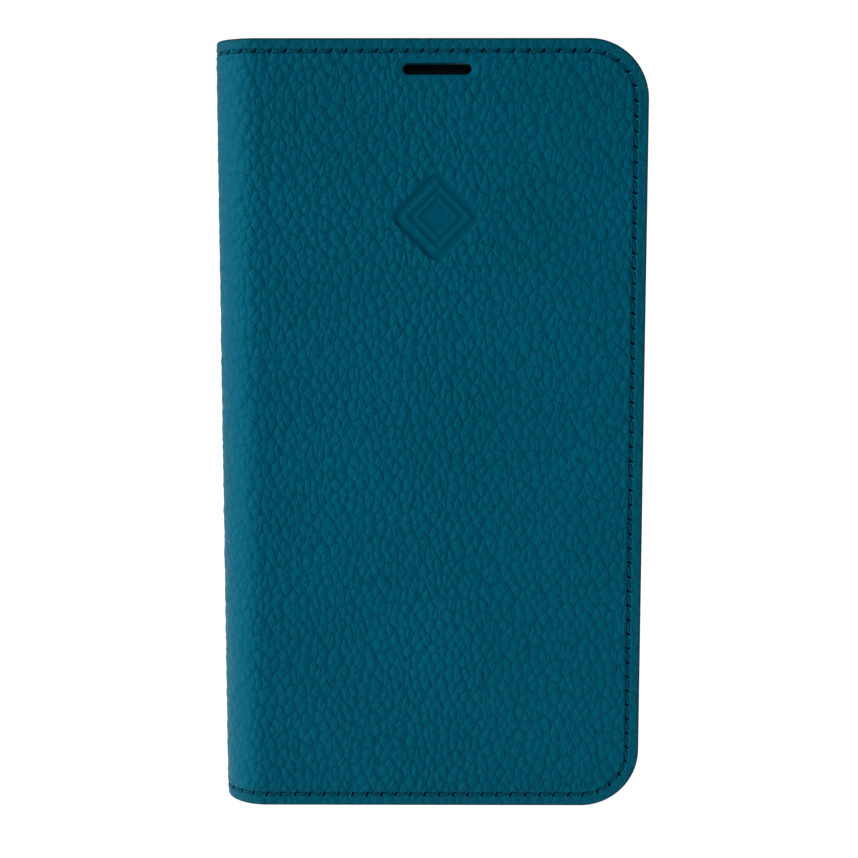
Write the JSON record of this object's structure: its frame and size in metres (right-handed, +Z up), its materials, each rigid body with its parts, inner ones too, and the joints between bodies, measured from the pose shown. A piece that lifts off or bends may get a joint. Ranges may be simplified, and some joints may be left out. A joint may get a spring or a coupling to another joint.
{
  "type": "phone wallet case",
  "caption": "Folio wallet case for a phone: a stitched leather book cover with card and note pockets, wrapped round a moulded shell that holds the phone.",
  "frame": {"origin": "middle of the closed case's bottom, where it stands on its bottom edge", "axes": "+Z up the case's height, +X from the spine to the free edge, +Y from the front cover to the back cover"},
  "size_m": [0.0866, 0.02, 0.157],
  "materials": {
    "outer_leather": "pebbled grain, satin",
    "pocket_leather": "fine grain, satin",
    "lining": "brushed microfibre",
    "thread": "twisted thread",
    "board": "pressed fibre board",
    "steel": "nickel plated",
    "adhesive": "adhesive sheet",
    "shell_plastic": "soft moulded plastic, satin",
    "button_plastic": "moulded plastic, satin"
  },
  "bodies": {
    "back_cover": {"back_leather": "outer_leather", "back_board": "board", "back_lining": "lining", "back_keepers": "steel", "back_thread": "thread", "shell_adhesive": "adhesive", "phone_shell": "shell_plastic"},
    "spine": {"spine_leather": "outer_leather", "spine_stiffener": "board", "spine_lining": "lining", "spine_thread": "thread"},
    "front_cover": {"front_leather": "outer_leather", "front_board": "board", "front_lining": "lining", "front_magnets": "steel", "front_thread": "thread", "bill_pocket": "pocket_leather", "card_pocket_upper": "pocket_leather", "card_pocket_middle": "pocket_leather", "card_pocket_lower": "pocket_leather", "pocket_thread": "thread"},
    "volume_up": {"volume_up_button": "button_plastic"},
    "volume_down": {"volume_down_button": "button_plastic"},
    "side_key": {"side_button": "button_plastic"}
  },
  "joints": [
    {"name": "back_crease", "type": "hinge", "parent": "back_cover", "child": "spine", "pos_m": [-0.04063, 0.00728, 0.0785], "axis": [0, 0, -1], "range_deg": [0, 178]},
    {"name": "front_crease", "type": "hinge", "parent": "spine", "child": "front_cover", "pos_m": [-0.04063, -0.00728, 0.0785], "axis": [0, 0, -1], "range_deg": [0, 178]},
    {"name": "volume_up_press", "type": "slide", "parent": "back_cover", "child": "volume_up", "axis": [1, 0, 0], "range_m": [0, 0.0004], "stiffness_N_per_m": 2500},
    {"name": "volume_down_press", "type": "slide", "parent": "back_cover", "child": "volume_down", "axis": [1, 0, 0], "range_m": [0, 0.0004], "stiffness_N_per_m": 2500},
    {"name": "side_press", "type": "slide", "parent": "back_cover", "child": "side_key", "axis": [-1, 0, 0], "range_m": [0, 0.0004], "stiffness_N_per_m": 2500}
  ]
}
